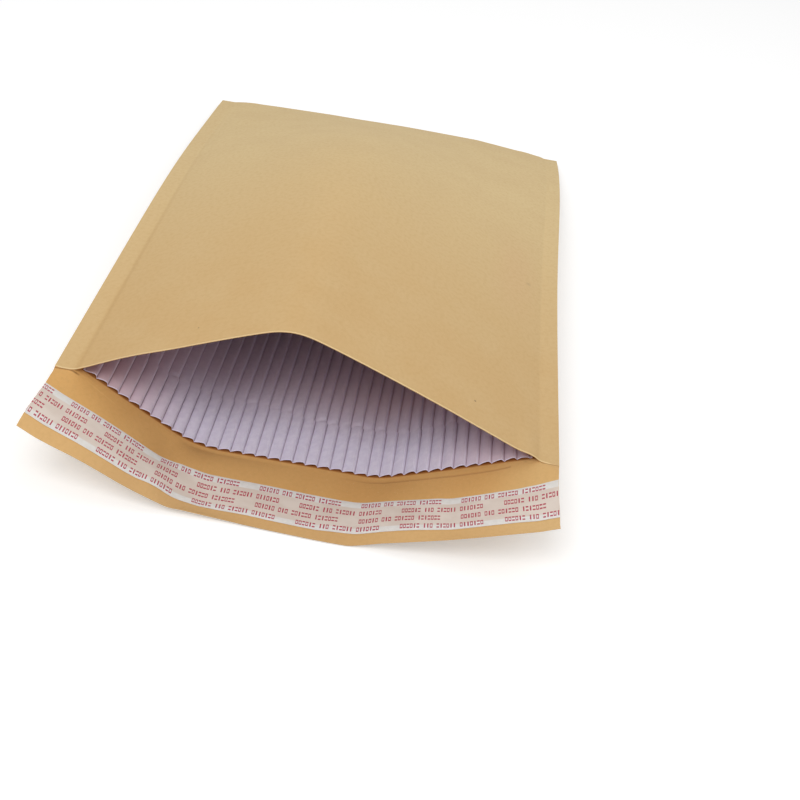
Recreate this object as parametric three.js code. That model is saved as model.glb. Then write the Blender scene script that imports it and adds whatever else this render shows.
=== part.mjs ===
// Padded mailing envelope, lying on a table with its mouth gaping and its sealing flap folded out.
//
// One kraft sheet makes the back panel, the front panel and the flap: it is folded across at the far
// end and glued down both sides. A sheet of white fluted paper, folded at the same end, pads it.
// Millimetres. X runs across the envelope, +Y from the mouth to the far fold, and +Z up.
//
// A place on the paper is "across" (from the left edge, measured along the paper) and "share" or
// "down" (from the mouth). Folding and bulging never stretch the paper, so every panel is laid out by
// walking along it, and each sheet keeps its cut width and its cut length.

import * as THREE from 'three';
import { mergeVertices } from 'three/addons/utils/BufferGeometryUtils.js';

const { clamp, degToRad, lerp, smoothstep } = THREE.MathUtils;

// Kraft sheet
const SHEET_WIDTH = 267;
const BODY_LENGTH = 404;
const FLAP_LENGTH = 46.7;
const KRAFT_THICKNESS = 0.3;
const SEAM_WIDTH = 10;
const SEAM_CREASE = 2;

// Fluted lining
const FLUTE_PITCH = 6.43;
const FLUTE_HEIGHT = 2.5;
const LINING_PAPER = 0.25;
const LINING_GAP = 0.3;
const LINING_SPARE = 1;
const LINING_SIDE_MARGIN = 3.3;
const FIRST_FLUTE_MARGIN = 4.5;
const BACK_LINING_INSET = 3.1;
const FRONT_LINING_INSET = 5;
const FLUTE_LEFT_AT_FOLD = 0.5;

// Adhesive band and the release liner over it
const LINER_FROM_MOUTH = 17.7;
const LINER_WIDTH = 21.6;
const LINER_THICKNESS = 0.15;
const ADHESIVE_MARGIN = 2.5;
const ADHESIVE_THICKNESS = 0.15;
const TAPE_GAP = 0.1;

// Back panel at the mouth: its two sides lift off the table, each in one slope with a soft bend
const LEFT_BEND_FROM_SIDE = 80.4;
const RIGHT_BEND_FROM_SIDE = 93.2;
const LEFT_LIFT = degToRad(30.5);
const RIGHT_LIFT = degToRad(21.9);
const LEFT_BEND_SPREAD = 33.7;
const RIGHT_BEND_SPREAD = 20.4;
const LEFT_FADE_POWER = 2.94;
const RIGHT_FADE_POWER = 3.46;

// Front panel: one soft ridge, and a slight bow in the slope on each side of it
const RIDGE_LEFT_OF_MIDDLE = 13.2;
const RIDGE_SPREAD = 30.3;
const RIDGE_SPREAD_AT_FOLD = 151;
const LEFT_BOW = -0.15;
const RIGHT_BOW = 0.18;

// Padding: how steeply the panels start to part at the seams, to make room for the lining. From
// there the slope eases off evenly, so each side has a soft shoulder.
const PADDING_SLOPE = degToRad(15);

// Outer edge of the flap: its bends are sharper, because no lining stiffens it
const FLAP_LEFT_BEND_FROM_SIDE = 78.8;
const FLAP_RIGHT_BEND_FROM_SIDE = 100.6;
const FLAP_MIDDLE_TILT = degToRad(1.5);
const FLAP_LEFT_LIFT = degToRad(23.3);
const FLAP_RIGHT_LIFT = degToRad(15.9);
const FLAP_BEND_SPREAD = 7.7;
const FLAP_LEFT_HUMP = degToRad(2.4);
const FLAP_RIGHT_HUMP = degToRad(3.1);

// How finely the sheets are laid out
const WALK_STEP = 0.5;
const BODY_SHARES = [0, 0.3, 0.52, 0.7, 0.84, 0.94, 1];
const FOLD_STEPS = 3;
const FLUTE_PROFILE = [
  { share: 0, rise: 0 },
  { share: 0.35, rise: 0.8 },
  { share: 0.75, rise: 1 },
];
const WELD_DISTANCE = 0.001;

// How closely the front panel's right edge is brought onto the back panel's, and in what steps
const FIT_CLOSE = 1e-5;
const FIT_NUDGE = 1e-4;
const FIT_LARGEST_TURN = 0.1;
const FIT_ROUNDS = 30;

// Sizes that follow from the ones above
const LEFT_CREASE = SEAM_WIDTH;
const RIGHT_CREASE = SHEET_WIDTH - SEAM_WIDTH;
const PADDING_RISE = LINING_GAP + FLUTE_HEIGHT + LINING_SPARE / 2;
const PADDING_RUN = (2 * PADDING_RISE) / Math.sin(PADDING_SLOPE);
const FIRST_FLUTE = LEFT_CREASE + FIRST_FLUTE_MARGIN;
const FLUTE_SPAN = RIGHT_CREASE - FIRST_FLUTE_MARGIN - FIRST_FLUTE;
const FLUTE_COUNT = Math.floor(FLUTE_SPAN / FLUTE_PITCH);
const LINER_END = LINER_FROM_MOUTH + LINER_WIDTH;
const LINER_HEIGHT = TAPE_GAP + ADHESIVE_THICKNESS + TAPE_GAP;
const RIGHT_BEND_AT = SHEET_WIDTH - RIGHT_BEND_FROM_SIDE;
const FLAP_RIGHT_BEND_AT = SHEET_WIDTH - FLAP_RIGHT_BEND_FROM_SIDE;
const RIDGE_AT = SHEET_WIDTH / 2 - RIDGE_LEFT_OF_MIDDLE;

// Lines across the flap, from the mouth outwards, that the liner and the adhesive end on
const TAPE_LINES = [
  LINER_FROM_MOUTH,
  LINER_FROM_MOUTH + ADHESIVE_MARGIN,
  LINER_FROM_MOUTH + LINER_WIDTH / 2,
  LINER_END - ADHESIVE_MARGIN,
  LINER_END,
];

// 1 between two places across the sheet and 0 outside them, changing over a soft stretch at each
function between(across, from, to, fromSpread, toSpread) {
  const rising = smoothstep(across, from - fromSpread / 2, from + fromSpread / 2);
  const falling = 1 - smoothstep(across, to - toSpread / 2, to + toSpread / 2);
  return rising * falling;
}

// The line that the paper takes across the envelope, walked in short steps along its slope
function walkAcross(slopeAt, startHeight = 0) {
  const count = Math.round(SHEET_WIDTH / WALK_STEP);
  const step = SHEET_WIDTH / count;
  const path = [{ x: 0, z: startHeight }];
  for (let i = 1; i <= count; i += 1) {
    const slope = slopeAt((i - 0.5) * step);
    const last = path[i - 1];
    path.push({ x: last.x + step * Math.cos(slope), z: last.z + step * Math.sin(slope) });
  }
  const at = (across) => {
    const i = Math.min(Math.floor(across / step), count - 1);
    const part = across / step - i;
    return {
      x: lerp(path[i].x, path[i + 1].x, part),
      z: lerp(path[i].z, path[i + 1].z, part),
      slope: slopeAt(across),
    };
  };
  return { at, end: path[count], lowest: Math.min(...path.map((point) => point.z)) };
}

// The soft shoulder at each side where the panels part to hold the lining
function paddingSlope(across, amount) {
  const leftEnd = LEFT_CREASE + PADDING_RUN / 2;
  const rightEnd = RIGHT_CREASE - PADDING_RUN / 2;
  const left = between(across, LEFT_CREASE, leftEnd, SEAM_CREASE, PADDING_RUN);
  const right = between(across, rightEnd, RIGHT_CREASE, PADDING_RUN, SEAM_CREASE);
  return PADDING_SLOPE * (amount.left * left - amount.right * right);
}

// Slope of the back panel, 0 to 1 of the way from the mouth to the far fold
function backSlope(across, open) {
  const lift = { left: LEFT_LIFT * open.left, right: RIGHT_LIFT * open.right };
  const left = between(across, LEFT_CREASE, LEFT_BEND_FROM_SIDE, SEAM_CREASE, LEFT_BEND_SPREAD);
  const right = between(across, RIGHT_BEND_AT, RIGHT_CREASE, RIGHT_BEND_SPREAD, SEAM_CREASE);
  const padding = paddingSlope(across, { left: 1 - open.left, right: 1 - open.right });
  return lift.right * right - lift.left * left - padding;
}

// Slope of the front panel with its two sides at the angles given
function frontSlope(across, open, angles) {
  const leftPart = clamp((across - LEFT_CREASE) / (RIDGE_AT - LEFT_CREASE), 0, 1) * 2 - 1;
  const rightPart = clamp((across - RIDGE_AT) / (RIGHT_CREASE - RIDGE_AT), 0, 1) * 2 - 1;
  const left = between(across, LEFT_CREASE, RIDGE_AT, SEAM_CREASE, open.ridge);
  const right = between(across, RIDGE_AT, RIGHT_CREASE, open.ridge, SEAM_CREASE);
  const padding = paddingSlope(across, { left: 1 - open.left, right: 1 - open.right });
  const rising = angles[0] * left * (1 + LEFT_BOW * leftPart);
  const falling = angles[1] * right * (1 + RIGHT_BOW * rightPart);
  return padding + rising - falling;
}

// The front panel has the same cut width as the back one and is glued to it along both sides, so the
// angles of its two slopes are the ones that bring its right edge onto the back panel's right edge
function walkFront(open, back, startHeight, endHeight) {
  const walk = (angles) => walkAcross((across) => frontSlope(across, open, angles), startHeight);
  const miss = (angles) => {
    const { end } = walk(angles);
    return [end.x - back.end.x, end.z - endHeight];
  };
  if (open.left === 0 && open.right === 0) return walk([0, 0]);
  let angles = [LEFT_LIFT * open.left, RIGHT_LIFT * open.right];
  for (let round = 0; round < FIT_ROUNDS; round += 1) {
    const [missX, missZ] = miss(angles);
    if (Math.hypot(missX, missZ) < FIT_CLOSE) break;
    const first = miss([angles[0] + FIT_NUDGE, angles[1]]);
    const second = miss([angles[0], angles[1] + FIT_NUDGE]);
    const a = (first[0] - missX) / FIT_NUDGE;
    const b = (second[0] - missX) / FIT_NUDGE;
    const c = (first[1] - missZ) / FIT_NUDGE;
    const d = (second[1] - missZ) / FIT_NUDGE;
    const scale = a * d - b * c;
    const turn = [(b * missZ - d * missX) / scale, (c * missX - a * missZ) / scale];
    angles = angles.map((angle, i) => angle + clamp(turn[i], -FIT_LARGEST_TURN, FIT_LARGEST_TURN));
  }
  return walk(angles);
}

// Sheet points know where they are and which way leads into the pouch, square to the paper
function sheetPoint(place, centre, height, side) {
  return {
    position: new THREE.Vector3(place.x - centre, 0, place.z + height),
    inward: new THREE.Vector3(-Math.sin(place.slope) * side, 0, Math.cos(place.slope) * side),
  };
}

// One cross-section of the pouch: the back and front panels at the same share of the length
function pouchSection(share, columns) {
  const open = {
    left: 1 - share ** LEFT_FADE_POWER,
    right: 1 - share ** RIGHT_FADE_POWER,
    ridge: lerp(RIDGE_SPREAD, RIDGE_SPREAD_AT_FOLD, share ** 2),
  };
  const back = walkAcross((across) => backSlope(across, open));
  const lift = -back.lowest;
  const front = walkFront(open, back, lift, back.end.z + lift);
  const centre = back.end.x / 2;
  const inLeftSeam = (across) => across <= LEFT_CREASE - SEAM_CREASE / 2;
  const inRightSeam = (across) => across >= RIGHT_CREASE + SEAM_CREASE / 2;
  const glued = (across) => inLeftSeam(across) || inRightSeam(across);
  return {
    back: columns.map((across) => sheetPoint(back.at(across), centre, lift, 1)),
    front: columns.map((across) => {
      if (glued(across)) return sheetPoint(back.at(across), centre, lift, -1);
      return sheetPoint(front.at(across), centre, 0, -1);
    }),
  };
}

// One cross-section of the flap, 0 to 1 of the way from the mouth to its outer edge
function flapSection(share, columns) {
  const hump = Math.sin(Math.PI * share);
  const leftLift = lerp(LEFT_LIFT, FLAP_LEFT_LIFT, share) + hump * FLAP_LEFT_HUMP;
  const rightLift = lerp(RIGHT_LIFT, FLAP_RIGHT_LIFT, share) + hump * FLAP_RIGHT_HUMP;
  const leftBend = lerp(LEFT_BEND_FROM_SIDE, FLAP_LEFT_BEND_FROM_SIDE, share);
  const rightBend = lerp(RIGHT_BEND_AT, FLAP_RIGHT_BEND_AT, share);
  const leftSpread = lerp(LEFT_BEND_SPREAD, FLAP_BEND_SPREAD, share);
  const rightSpread = lerp(RIGHT_BEND_SPREAD, FLAP_BEND_SPREAD, share);
  const sideRun = lerp(SEAM_WIDTH, -SEAM_CREASE, share);
  const path = walkAcross((across) => {
    const left = between(across, sideRun, leftBend, SEAM_CREASE, leftSpread);
    const right = between(across, rightBend, SHEET_WIDTH - sideRun, rightSpread, SEAM_CREASE);
    const level = between(across, leftBend, rightBend, leftSpread, rightSpread);
    return rightLift * right - leftLift * left - share * FLAP_MIDDLE_TILT * level;
  });
  const middle = path.at(SHEET_WIDTH / 2).x;
  return columns.map((across) => sheetPoint(path.at(across), middle, -path.lowest, 1));
}

// Places a row beside the last one so that the paper between them keeps its cut length
function layBeside(row, last, length, direction) {
  row.forEach((point, i) => {
    const before = last[i].position;
    const dx = point.position.x - before.x;
    const dz = point.position.z - before.z;
    point.position.y = before.y + direction * Math.sqrt(Math.max(length ** 2 - dx ** 2 - dz ** 2, 0));
  });
}

// The back and front panels as rows of points, the mouth's row first
function pouchRows(columns) {
  const sections = BODY_SHARES.map((share) => pouchSection(share, columns));
  const rows = { back: sections.map((s) => s.back), front: sections.map((s) => s.front) };
  const last = BODY_SHARES.length - 1;
  for (const panel of [rows.back, rows.front]) {
    panel[last].forEach((point) => {
      point.position.y = BODY_LENGTH;
    });
    for (let i = last - 1; i >= 0; i -= 1) {
      layBeside(panel[i], panel[i + 1], (BODY_SHARES[i + 1] - BODY_SHARES[i]) * BODY_LENGTH, -1);
    }
  }
  return rows;
}

// The flap as rows of points from the mouth outwards, at the distances given
function flapRows(mouthRow, columns, distances) {
  const middle = columns.reduce((best, across, i) => {
    const nearer = Math.abs(across - SHEET_WIDTH / 2) < Math.abs(columns[best] - SHEET_WIDTH / 2);
    return nearer ? i : best;
  }, 0);
  const rows = [mouthRow];
  distances.forEach((distance, i) => {
    const row = flapSection(distance / FLAP_LENGTH, columns);
    const drift = mouthRow[middle].position.x - row[middle].position.x;
    row.forEach((point) => {
      point.position.x += drift;
    });
    layBeside(row, rows[i], distance - (i ? distances[i - 1] : 0), -1);
    rows.push(row);
  });
  return rows;
}

// The turn at the far end, from the back panel's last row round to the front panel's last row
function foldRows(backRow, frontRow) {
  const outward = new THREE.Vector3(0, -1, 0);
  const rows = [];
  for (let i = 1; i < FOLD_STEPS; i += 1) {
    const angle = degToRad(-90 + (180 * i) / FOLD_STEPS);
    rows.push(backRow.map((low, column) => {
      const high = frontRow[column];
      const radius = (high.position.z - low.position.z) / 2;
      const side = angle < 0 ? low.inward : high.inward;
      const position = low.position.clone();
      position.y += radius * Math.cos(angle);
      position.z += radius * (1 + Math.sin(angle));
      const inward = side.clone().multiplyScalar(Math.abs(Math.sin(angle)));
      inward.addScaledVector(outward, Math.cos(angle)).normalize();
      return { position, inward };
    }));
  }
  return rows;
}

// A face of a sheet: its rows moved into the pouch by a depth that may change across and along
function face(rows, depthAt) {
  return rows.map((row, i) => row.map((point, j) => (
    point.position.clone().addScaledVector(point.inward, depthAt(i, j))
  )));
}

// Closes a set of point grids into one body, welding the points that they share. Both faces of a
// sheet split their cells along the same diagonal, so stacked sheets stay parallel.
function closedBody(patches) {
  const positions = [];
  for (const { grid, order } of patches) {
    for (let i = 0; i + 1 < grid.length; i += 1) {
      for (let j = 0; j + 1 < grid[i].length; j += 1) {
        const corners = [grid[i][j], grid[i][j + 1], grid[i + 1][j + 1], grid[i + 1][j]];
        for (const k of order) positions.push(...corners[k].toArray());
      }
    }
  }
  const soup = new THREE.BufferGeometry();
  soup.setAttribute('position', new THREE.Float32BufferAttribute(positions, 3));
  const welded = mergeVertices(soup, WELD_DISTANCE);
  const index = [];
  for (let i = 0; i < welded.index.count; i += 3) {
    const [a, b, c] = [0, 1, 2].map((k) => welded.index.getX(i + k));
    if (a !== b && b !== c && c !== a) index.push(a, b, c);
  }
  welded.setIndex(index);
  welded.computeVertexNormals();
  return welded;
}

// The face of a sheet that looks into the pouch, the one that looks out, and the rim between them
const inside = (grid) => ({ grid, order: [0, 1, 2, 0, 2, 3] });
const outside = (grid) => ({ grid, order: [0, 2, 1, 0, 3, 2] });
const rim = (first, second) => inside([first, second]);
const column = (grid, j) => grid.map((row) => row[j]);

// A plain sheet with a face on each side and a rim all round
function sheetBody(outer, inner) {
  const last = outer.length - 1;
  const end = outer[0].length - 1;
  return closedBody([
    outside(outer),
    inside(inner),
    rim(outer[0], inner[0]),
    rim(inner[last], outer[last]),
    rim(column(inner, 0), column(outer, 0)),
    rim(column(outer, end), column(inner, end)),
  ]);
}

// Kraft sheet: back panel, far fold, front panel and flap in one, with both sides glued
function kraftShell() {
  const valleys = Array.from({ length: FLUTE_COUNT + 1 }, (_, i) => FIRST_FLUTE + i * FLUTE_PITCH);
  const creases = [LEFT_CREASE, RIGHT_CREASE].flatMap((at) => [at - SEAM_CREASE / 2, at + SEAM_CREASE / 2]);
  const columns = [0, ...creases, ...valleys, SHEET_WIDTH].sort((a, b) => a - b);
  const { back, front } = pouchRows(columns);
  const flap = flapRows(back[0], columns, [...TAPE_LINES, FLAP_LENGTH]);
  const fold = foldRows(back.at(-1), front.at(-1));
  const sheet = [...flap.slice(1).reverse(), ...back, ...fold, ...[...front].reverse()];
  const outer = face(sheet, () => -KRAFT_THICKNESS);
  const inner = face(sheet, () => 0);

  const mouth = flap.length - 1;
  const end = columns.length - 1;
  const pouch = [1, end - 1];
  const geometry = closedBody([
    outside(outer),
    inside(inner.slice(0, mouth + 1)),
    inside(inner.slice(mouth).map((row) => row.slice(pouch[0], pouch[1] + 1))),
    rim(outer[0], inner[0]),
    rim(inner.at(-1), outer.at(-1)),
    rim(column(inner, 0), column(outer, 0)),
    rim(column(outer, end), column(inner, end)),
  ]);
  return { geometry, flap };
}

// How far a flute's crest stands off its valleys, pressed flat where the panels are close together
function crestRise(low, high) {
  const room = ((high.position.z - low.position.z) / 2) * low.inward.z;
  return clamp(room - LINING_GAP - LINING_SPARE / 2 - LINING_PAPER, 0, FLUTE_HEIGHT - LINING_PAPER);
}

// Fluted lining: waves that lean over, each rising slowly and dropping steeply to the next valley
function flutedLining() {
  const places = [{ across: LEFT_CREASE + LINING_SIDE_MARGIN, rise: 0 }];
  for (let i = 0; i < FLUTE_COUNT; i += 1) {
    for (const { share, rise } of FLUTE_PROFILE) {
      places.push({ across: FIRST_FLUTE + (i + share) * FLUTE_PITCH, rise });
    }
  }
  places.push({ across: FIRST_FLUTE + FLUTE_COUNT * FLUTE_PITCH, rise: 0 });
  places.push({ across: RIGHT_CREASE - LINING_SIDE_MARGIN, rise: 0 });
  const { back, front } = pouchRows(places.map((place) => place.across));
  const crests = back.map((row, i) => row.map((low, j) => crestRise(low, front[i][j])));
  const crushed = crests.pop().map((crest) => crest * FLUTE_LEFT_AT_FOLD);

  const firstRun = (BODY_SHARES[1] - BODY_SHARES[0]) * BODY_LENGTH;
  const trim = (panel, inset) => {
    panel[0].forEach((point, j) => {
      point.position.lerp(panel[1][j].position, inset / firstRun);
      point.inward.lerp(panel[1][j].inward, inset / firstRun).normalize();
    });
  };
  trim(back, BACK_LINING_INSET);
  trim(front, FRONT_LINING_INSET);

  const fold = foldRows(back.at(-1), front.at(-1));
  const sheet = [...back, ...fold, ...[...front].reverse()];
  const atFold = [crushed, ...fold.map(() => crushed), crushed];
  const crestRows = [...crests, ...atFold, ...[...crests].reverse()];
  const depth = (i, j) => LINING_GAP + crestRows[i][j] * places[j].rise;
  const outer = face(sheet, depth);
  const inner = face(sheet, (i, j) => depth(i, j) + LINING_PAPER);
  return sheetBody(outer, inner);
}

// A strip of tape lying over some of the flap's rows, which run from the mouth outwards
function flapTape(flapPart, height, thickness) {
  const rows = [...flapPart].reverse();
  return sheetBody(face(rows, () => height), face(rows, () => height + thickness));
}

const material = (name, color, roughness) => (
  new THREE.MeshStandardMaterial({ name, color, roughness, metalness: 0 })
);
const kraftPaper = material('kraft paper', '#cfa872', 0.85);
const whitePaper = material('white fluted paper', '#d6cedc', 0.9);
const glue = material('pressure-sensitive adhesive', '#e9dfc4', 0.35);
const linerPaper = material('siliconised liner paper', '#dccfc4', 0.5);

function named(name, geometry, surface) {
  const mesh = new THREE.Mesh(geometry, surface);
  mesh.name = name;
  return mesh;
}

const kraft = kraftShell();
const linerRows = kraft.flap.slice(1, -1);
const adhesiveRows = linerRows.slice(1, -1);
const liner = flapTape(linerRows, LINER_HEIGHT, LINER_THICKNESS);
const adhesive = flapTape(adhesiveRows, TAPE_GAP, ADHESIVE_THICKNESS);

const envelope = new THREE.Group();
envelope.add(
  named('kraft_shell', kraft.geometry, kraftPaper),
  named('fluted_lining', flutedLining(), whitePaper),
  named('adhesive_band', adhesive, glue),
  named('release_liner', liner, linerPaper),
);

// The origin is under the middle of the whole envelope, on the table
const bounds = new THREE.Box3().setFromObject(envelope);
const middle = bounds.getCenter(new THREE.Vector3());
envelope.position.set(-middle.x, -middle.y, -bounds.min.z);

export default envelope;
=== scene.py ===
"""Looks of the padded envelope: kraft sheet, fluted lining, adhesive band and release liner.

Metres, in the row's frame: X across the envelope, +Y from the mouth to the far fold, +Z up.
A place on the paper is "across", from the sheet's left edge, and "down", from the mouth into the
pouch. Down is negative on the flap. The paper never stretches: every panel is laid out by walking
along it, so it keeps its cut width and length.
"""

import math

import bpy
import numpy as np
from mathutils import Matrix, Vector


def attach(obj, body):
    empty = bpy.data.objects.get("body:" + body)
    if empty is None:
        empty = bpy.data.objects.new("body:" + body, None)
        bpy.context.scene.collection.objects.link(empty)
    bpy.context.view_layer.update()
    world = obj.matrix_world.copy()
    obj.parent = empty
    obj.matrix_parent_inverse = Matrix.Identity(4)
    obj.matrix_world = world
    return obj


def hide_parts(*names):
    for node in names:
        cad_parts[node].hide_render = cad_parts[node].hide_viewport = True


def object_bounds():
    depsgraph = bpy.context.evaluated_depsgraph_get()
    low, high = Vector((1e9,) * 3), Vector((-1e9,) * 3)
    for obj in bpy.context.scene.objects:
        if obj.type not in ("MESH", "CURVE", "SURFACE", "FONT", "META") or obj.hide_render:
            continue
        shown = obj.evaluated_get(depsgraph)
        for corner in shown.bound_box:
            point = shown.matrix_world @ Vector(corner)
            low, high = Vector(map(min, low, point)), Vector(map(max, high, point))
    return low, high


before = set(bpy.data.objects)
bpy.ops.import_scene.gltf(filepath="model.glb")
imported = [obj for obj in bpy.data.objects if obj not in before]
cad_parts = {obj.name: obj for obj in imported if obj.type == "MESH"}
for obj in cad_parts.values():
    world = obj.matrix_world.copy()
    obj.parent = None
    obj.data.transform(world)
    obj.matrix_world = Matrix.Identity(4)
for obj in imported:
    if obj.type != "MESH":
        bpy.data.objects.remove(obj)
cad_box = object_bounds()

# Kraft sheet
SHEET_WIDTH = 0.267
BODY_LENGTH = 0.404
FLAP_LENGTH = 0.0467
KRAFT_THICKNESS = 0.0003
SEAM_WIDTH = 0.010
SEAM_CREASE = 0.002

# Fluted lining
FLUTE_PITCH = 0.00643
FLUTE_HEIGHT = 0.0025
LINING_PAPER = 0.0002
LINING_GAP = 0.0003
LINING_SPARE = 0.001
LINING_SIDE_MARGIN = 0.0033
FIRST_FLUTE_MARGIN = 0.0045
BACK_LINING_INSET = 0.0031
FRONT_LINING_INSET = 0.005
FLUTE_LEFT_AT_FOLD = 0.5
FLUTE_PEAK_AT = 0.8

# Adhesive band and the release liner over it
LINER_FROM_MOUTH = 0.0177
LINER_WIDTH = 0.0216
LINER_THICKNESS = 0.00012
ADHESIVE_MARGIN = 0.0025
ADHESIVE_THICKNESS = 0.00015
TAPE_GAP = 0.0001

# Back panel at the mouth: its two sides lift off the table
LEFT_BEND_AT = 0.0804
RIGHT_BEND_AT = SHEET_WIDTH - 0.0932
LEFT_LIFT = math.radians(30.5)
RIGHT_LIFT = math.radians(21.9)
LEFT_BEND_SPREAD = 0.0337
RIGHT_BEND_SPREAD = 0.0204
LEFT_FADE_POWER = 2.94
RIGHT_FADE_POWER = 3.46

# Front panel: one soft ridge, and a slight bow in the slope on each side of it
RIDGE_AT = SHEET_WIDTH / 2 - 0.0132
RIDGE_SPREAD = 0.0303
RIDGE_SPREAD_AT_FOLD = 0.151
LEFT_BOW = -0.15
RIGHT_BOW = 0.18

# Padding: how steeply the panels start to part at the seams, to make room for the lining. From
# there the slope eases off evenly, so each side has a soft shoulder.
PADDING_SLOPE = math.radians(15)
PADDING_RISE = LINING_GAP + FLUTE_HEIGHT + LINING_SPARE / 2
PADDING_RUN = 2 * PADDING_RISE / math.sin(PADDING_SLOPE)

# Outer edge of the flap: its bends are sharper, because no lining stiffens it
FLAP_LEFT_BEND_AT = 0.0788
FLAP_RIGHT_BEND_AT = SHEET_WIDTH - 0.1006
FLAP_MIDDLE_TILT = math.radians(1.5)
FLAP_LEFT_LIFT = math.radians(23.3)
FLAP_RIGHT_LIFT = math.radians(15.9)
FLAP_BEND_SPREAD = 0.0077
FLAP_LEFT_HUMP = math.radians(2.4)
FLAP_RIGHT_HUMP = math.radians(3.1)

LEFT_CREASE = SEAM_WIDTH
RIGHT_CREASE = SHEET_WIDTH - SEAM_WIDTH
FIRST_FLUTE = LEFT_CREASE + FIRST_FLUTE_MARGIN
FLUTE_SPAN = RIGHT_CREASE - FIRST_FLUTE_MARGIN - FIRST_FLUTE
FLUTE_COUNT = int(FLUTE_SPAN / FLUTE_PITCH)
LINER_END = LINER_FROM_MOUTH + LINER_WIDTH

# How finely the paper's line across the envelope is walked
WALK_STEP = 0.0005

# Where the mouth's left corner of the plain shape lies in the row's frame
TO_ROW = np.array([0.0, -0.18046, 0.0003])

# This envelope's own small strays from the plain shape, in millimetres. For the front panel's lip:
# a place across the sheet, how far the paper is raised there, and how far it reaches out. The
# strays fade out over the two depths.
LIP_STRAYS = (
    (0, 0, 0), (3, 0, 0.9), (7, 0, 0.8), (10, 0.25, 0.6), (13, 0.15, 0.4), (18, 0.05, 0),
    (23, 0.4, 0), (30, 0.75, 0), (37, 0.9, 0), (45, 0.8, 0), (57, 0.2, 0), (66, 0, 0), (205, 0, 0),
    (220, -0.2, 0), (244, -0.2, 0), (247, 0.3, 0), (251, 1, 0), (254, 1, 0), (256.5, 0.4, 0),
    (258.5, 0, 0.2), (261, 0, 0.6), (264, 0, 1.5), (267, 0, 2.1),
)
LIP_STRAY_DEPTH = 0.035
LIP_REACH_DEPTH = 0.004

# For the front panel at the far end: a place across the sheet and how far the paper is raised
FAR_STRAYS = (
    (0, 0), (10, 0.2), (21, -0.8), (31, -1.2), (45, -0.6), (69, 0.2), (88, 0.8), (107, 1.0),
    (126, 1.5), (145, 1.9), (168, 1.9), (185, 1.8), (202, 1.7), (218, 0.5), (234, -0.8),
    (245, -0.8), (250, -0.5), (253, 0), (267, 0),
)
FAR_STRAY_DEPTH = 0.07

# For the flap: a place across the sheet, how far it is raised at the liner's near edge, at its far
# edge and at the flap's own edge, and how far it reaches out at the last two.
FLAP_STRAYS = (
    (0, -2.6, -0.1, -0.2, 0.2, 0.3), (10, -1.8, 0.1, -0.1, 0.1, 0.15),
    (19, -1.2, 0.4, 0.1, 0, 0), (28, -0.5, 0.7, 0.5, -0.3, -0.4),
    (36, -0.2, 0.7, 0.6, -0.4, -0.6), (45, 0, 0.6, 0.5, -0.3, -0.5),
    (53, -0.1, 0.3, 0.3, -0.2, -0.3), (60, -0.4, 0.6, 0.3, -0.1, -0.2),
    (66, -0.3, 1.9, 0.4, -0.1, -0.2), (72, 1.1, 1.9, 0.6, -0.1, -0.2),
    (78, 2.6, 0.9, 0.9, 0, -0.2), (84, 2.3, -0.2, 1.2, 0, -0.2),
    (92, 0.9, -0.9, 0.7, 0.6, -0.3), (100, 0.7, -1.0, 0.1, 0.6, -0.5),
    (108, 0.7, -0.8, -0.3, 0.6, -0.5), (116, 0.7, -0.4, -0.6, 0.8, -0.3),
    (125, 0.6, -0.3, -0.6, 1.4, 0), (141, 0.1, -0.2, -0.3, 1.8, 0.5),
    (149, 0, -0.2, -0.1, 1.8, 0.8), (157, 0, -0.2, 0.1, 0.8, 0.9),
    (165, 0.3, 0.3, 0.1, 0.5, 0.7), (174, 1.3, 0.2, -0.2, 0, -0.2),
    (182, 0.9, 0.3, 0.1, -0.4, -0.6), (190, 0.2, 0.3, 0.2, -0.4, -0.6),
    (198, -0.7, 0, 0.3, -0.4, -0.6), (207, -1.6, -0.9, 0.4, -0.4, -0.6),
    (215, -3.1, -1.7, 0.5, -0.4, -0.6), (223, -3.1, -1.6, 0.7, -0.4, -0.6),
    (233, -3.1, -1.3, 0.9, -0.4, -0.6), (247, -2.9, -1.1, 1.3, -0.4, -0.6),
    (255, -2.0, -1.3, 1.4, -0.4, -0.6), (267, -1.1, -1.1, 1.4, -0.4, -0.6),
)

# The seams' flat bands run out on the flap within this share of its length
FLAP_BAND_END = 0.3

# The flap's outer right corner is cut a little inwards, from these places on
FLAP_TRIM = 0.001
TRIM_FROM_ACROSS = 0.24
TRIM_FROM_DISTANCE = LINER_END - 0.005

# The left side's lift along the pouch has one slow wave and a dip beyond a share of the length.
# Both are shares of the lift at the mouth.
LEFT_WAVER = 0.063
LEFT_DIP = 0.055
LEFT_DIP_FROM = 0.4
WAVER_POWER = 1.5

# The crease beside the mouth's line: places across and outwards on the flap, in millimetres. It
# starts and ends softly, and its painted shade is wider than its groove.
SCORE_LINE = ((150, 1.6), (185, 1.4), (205, 1.8), (225, 2.0), (239, 1.5), (244, 0.1))
SCORE_CURVE_TOP = 3.0
SCORE_FROM = 0.165
SCORE_TO = 0.2445
SCORE_FADE_IN = 0.03
SCORE_FADE_OUT = 0.002
SCORE_DEPTH = 0.00014
SCORE_WIDTH = 0.00045
SCORE_SHADE_AND_BUMP_REACH = 2.6 * SCORE_WIDTH

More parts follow.
